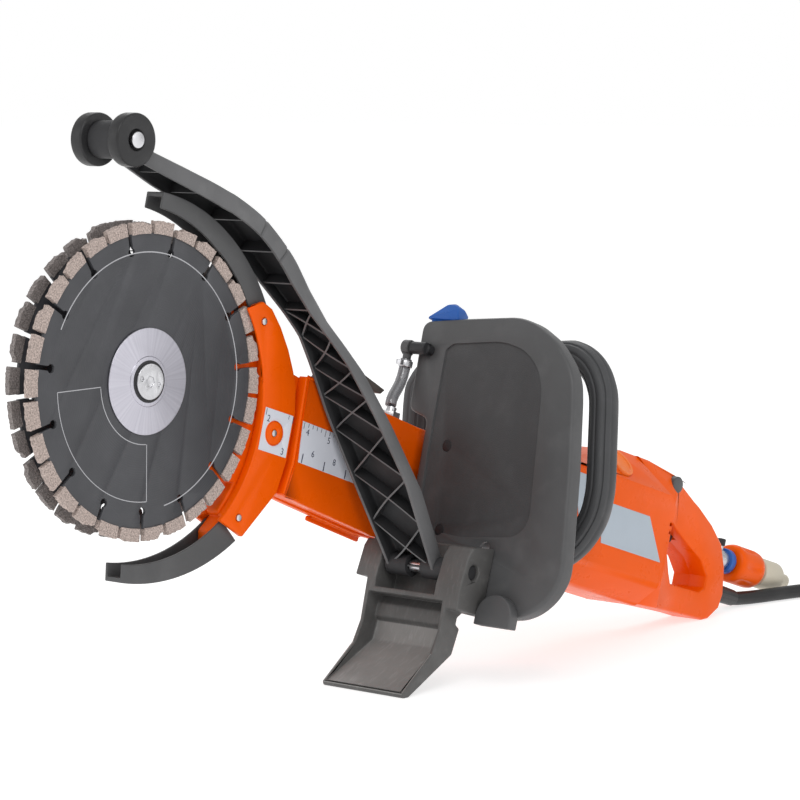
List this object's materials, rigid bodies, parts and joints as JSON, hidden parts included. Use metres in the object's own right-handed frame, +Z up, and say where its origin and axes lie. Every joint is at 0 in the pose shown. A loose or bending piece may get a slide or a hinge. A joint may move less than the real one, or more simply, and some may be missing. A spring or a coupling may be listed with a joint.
{
  "type": "concrete cut-off saw",
  "caption": "Hand-held electric concrete cut-off saw: twin diamond blades on a belt-drive arm, roller support beam, splash guard, scoop and two handles.",
  "frame": {"origin": "centre of the saw's outline at floor level, cable and plug left out", "axes": "+Z up, -X towards the blades, +X towards the rear handle, -Y the saw's left side, where the motor is"},
  "size_m": [0.9618, 0.2966, 0.4342],
  "materials": {
    "orange_cast": "satin orange powder coat",
    "orange_plastic": "smooth moulded, semi-gloss",
    "dark_plastic": "fine grain",
    "black_plastic": "fine grain",
    "black_rubber": "matte",
    "blade_steel": "ground steel, dark",
    "bright_steel": "machined",
    "cast_aluminium": "die-cast",
    "white_label": "printed film",
    "blue_plastic": "moulded",
    "cream_plastic": "moulded",
    "smoke_hose": "smooth"
  },
  "bodies": {
    "saw": {"arm_core": "orange_cast", "arm_cover_left": "orange_plastic", "arm_cover_right": "orange_plastic", "front_cover_left": "orange_plastic", "front_cover_right": "orange_plastic", "cover_screws": "bright_steel", "depth_scale": "white_label", "blade_guard": "dark_plastic", "beam_stop": "dark_plastic", "spindle_bearings": "bright_steel", "drive_belt": "black_rubber", "gear_case": "cast_aluminium", "motor_housing": "orange_plastic", "stator": "bright_steel", "case_bearings": "bright_steel", "brushes": "black_plastic", "brush_caps": "orange_plastic", "rear_handle_left": "orange_plastic", "rear_handle_right": "orange_plastic", "side_labels": "white_label", "switch_unit": "black_plastic", "front_handle": "dark_plastic", "handle_brackets": "cast_aluminium", "splash_guard": "dark_plastic", "guard_screws": "black_plastic", "guard_cap": "dark_plastic", "tap_valve": "black_plastic", "water_elbow": "dark_plastic", "hose_clamp": "bright_steel", "arm_hose": "smoke_hose", "arm_fitting": "bright_steel", "scoop": "dark_plastic", "pivot_pin": "bright_steel", "beam_spring": "bright_steel", "strain_relief": "black_rubber", "power_cable": "black_rubber", "plug": "black_rubber", "plug_pins": "bright_steel", "inlet_filter": "blue_plastic", "inlet_body": "bright_steel", "inlet_cap": "black_plastic", "inlet_nipple": "blue_plastic", "hose_barrel": "cream_plastic"},
    "spindle": {"spindle": "bright_steel", "blade_left": "blade_steel", "blade_right": "blade_steel", "blade_flanges": "bright_steel", "blade_screws": "bright_steel"},
    "drive_shaft": {"output_shaft": "bright_steel", "drive_pulley": "bright_steel", "crown_gear": "bright_steel"},
    "rotor": {"rotor": "bright_steel"},
    "beam": {"roller_beam": "dark_plastic", "roller_axle": "bright_steel"},
    "left_roller": {"roller_left": "black_rubber"},
    "right_roller": {"roller_right": "black_rubber"},
    "tap": {"tap_lever": "blue_plastic"},
    "trigger": {"trigger": "black_plastic"},
    "lock_button": {"lock_button": "dark_plastic"},
    "sleeve": {"coupling_sleeve": "orange_plastic"}
  },
  "joints": [
    {"name": "spindle_spin", "type": "hinge", "parent": "saw", "child": "spindle", "pos_m": [-0.3209, 0.06475, 0.24395], "axis": [0, 1, 0], "continuous": true},
    {"name": "drive_shaft_spin", "type": "hinge", "parent": "saw", "child": "drive_shaft", "pos_m": [0.01272, 0.06475, 0.13813], "axis": [0, 1, 0], "continuous": true},
    {"name": "rotor_spin", "type": "hinge", "parent": "saw", "child": "rotor", "pos_m": [0.10743, 0.00475, 0.10599], "axis": [0.9532, 0, -0.3024], "continuous": true},
    {"name": "beam_swing", "type": "hinge", "parent": "saw", "child": "beam", "pos_m": [-0.07889, 0.00475, 0.08746], "axis": [0, 1, 0], "range_deg": [0, 28], "stiffness_Nm_per_rad": 1.5, "springref_deg": -22.92},
    {"name": "left_roller_spin", "type": "hinge", "parent": "beam", "child": "left_roller", "pos_m": [-0.34158, 0.04675, 0.41523], "axis": [0, 1, 0], "continuous": true},
    {"name": "right_roller_spin", "type": "hinge", "parent": "beam", "child": "right_roller", "pos_m": [-0.34158, 0.08275, 0.41523], "axis": [0, 1, 0], "continuous": true},
    {"name": "tap_turn", "type": "hinge", "parent": "saw", "child": "tap", "pos_m": [0.00676, 0.04875, 0.26486], "axis": [0, 1, 0], "range_deg": [0, 50]},
    {"name": "trigger_pull", "type": "hinge", "parent": "saw", "child": "trigger", "pos_m": [0.22734, 0.00475, 0.09208], "axis": [0, -1, 0], "range_deg": [0, 8], "stiffness_Nm_per_rad": 0.3, "springref_deg": -14.32},
    {"name": "lock_press", "type": "slide", "parent": "saw", "child": "lock_button", "axis": [0, 1, 0], "range_m": [0, 0.0035], "stiffness_N_per_m": 300, "springref_m": -0.005},
    {"name": "sleeve_slide", "type": "slide", "parent": "saw", "child": "sleeve", "axis": [0.9532, 0, -0.3024], "range_m": [0, 0.005], "stiffness_N_per_m": 400, "springref_m": -0.008}
  ],
  "couplings": [
    {"joint": "drive_shaft_spin", "follows": "spindle_spin", "ratio": 1},
    {"joint": "rotor_spin", "follows": "spindle_spin", "ratio": 3.26}
  ]
}
